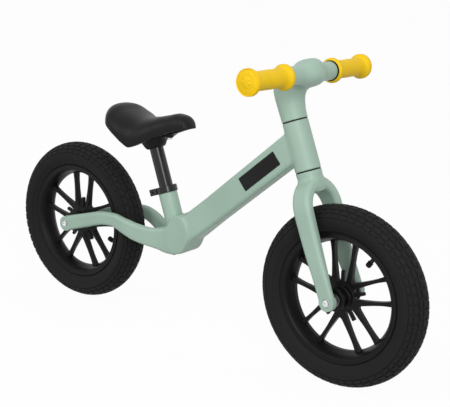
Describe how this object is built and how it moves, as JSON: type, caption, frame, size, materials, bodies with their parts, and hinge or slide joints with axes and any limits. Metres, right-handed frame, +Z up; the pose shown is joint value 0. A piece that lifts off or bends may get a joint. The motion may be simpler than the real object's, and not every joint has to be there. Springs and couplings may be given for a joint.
{
  "type": "balance bike",
  "caption": "Toddler's pedal-free balance bike: cast frame with low seat tube, cast fork and T-shaped bar stem, air tyres on spoked moulded wheels, sliding padded saddle.",
  "frame": {"origin": "on the ground, midway between the two axles, in the bike's middle plane", "axes": "+X forwards, towards the front wheel; +Y to the rider's left; +Z up"},
  "size_m": [0.8774, 0.3272, 0.5156],
  "materials": {
    "green_paint": "satin sage-green powder coat over a casting",
    "grip_rubber": "matt yellow moulded rubber",
    "tyre_rubber": "matt black tread rubber",
    "tube_rubber": "smooth black butyl",
    "black_nylon": "fine-grained moulded nylon",
    "saddle_cover": "satin smooth synthetic skin over foam",
    "black_enamel": "gloss black enamel on steel",
    "bright_steel": "bright zinc plate",
    "plain_steel": "turned steel",
    "badge_film": "satin black film, bare of lettering"
  },
  "bodies": {
    "frame": {"frame": "green_paint", "badge_left": "badge_film", "badge_right": "badge_film", "lower_head_bearing": "plain_steel", "upper_head_bearing": "plain_steel", "seat_clamp": "black_enamel", "seat_clamp_bolt": "black_enamel", "seat_clamp_nut": "black_enamel", "rear_axle": "plain_steel", "rear_axle_bolt_left": "bright_steel", "rear_axle_washer_left": "bright_steel", "rear_axle_spacer_left": "plain_steel", "rear_axle_bolt_right": "bright_steel", "rear_axle_washer_right": "bright_steel", "rear_axle_spacer_right": "plain_steel"},
    "steering": {"fork": "green_paint", "steerer_tube": "plain_steel", "lower_dust_ring": "black_nylon", "upper_dust_ring": "black_nylon", "handlebar_stem": "green_paint", "stem_screw_lower": "bright_steel", "stem_screw_upper": "bright_steel", "handlebar_tube": "black_enamel", "grip_left": "grip_rubber", "grip_right": "grip_rubber", "front_axle": "plain_steel", "front_axle_bolt_left": "bright_steel", "front_axle_washer_left": "bright_steel", "front_axle_spacer_left": "plain_steel", "front_axle_bolt_right": "bright_steel", "front_axle_washer_right": "bright_steel", "front_axle_spacer_right": "plain_steel"},
    "front_wheel": {"front_tyre": "tyre_rubber", "front_inner_tube": "tube_rubber", "front_valve_cap": "black_nylon", "front_rim": "black_nylon", "front_bearing_left": "plain_steel", "front_bearing_right": "plain_steel", "front_bearing_sleeve": "plain_steel"},
    "rear_wheel": {"rear_tyre": "tyre_rubber", "rear_inner_tube": "tube_rubber", "rear_valve_cap": "black_nylon", "rear_rim": "black_nylon", "rear_bearing_left": "plain_steel", "rear_bearing_right": "plain_steel", "rear_bearing_sleeve": "plain_steel"},
    "seat": {"seat_post": "black_enamel", "saddle_cushion": "saddle_cover", "saddle_shell": "black_nylon", "saddle_pin": "plain_steel", "saddle_screw": "bright_steel"}
  },
  "joints": [
    {"name": "steering", "type": "hinge", "parent": "frame", "child": "steering", "pos_m": [0.29, 0, 0.149], "axis": [-0.3923, 0, 0.9198], "continuous": true},
    {"name": "front_wheel_spin", "type": "hinge", "parent": "steering", "child": "front_wheel", "pos_m": [0.29, 0, 0.149], "axis": [0, 1, 0], "continuous": true},
    {"name": "rear_wheel_spin", "type": "hinge", "parent": "frame", "child": "rear_wheel", "pos_m": [-0.29, 0, 0.149], "axis": [0, 1, 0], "continuous": true},
    {"name": "seat_height", "type": "slide", "parent": "frame", "child": "seat", "axis": [-0.373, 0, 0.9278], "range_m": [-0.035, 0.02]}
  ]
}
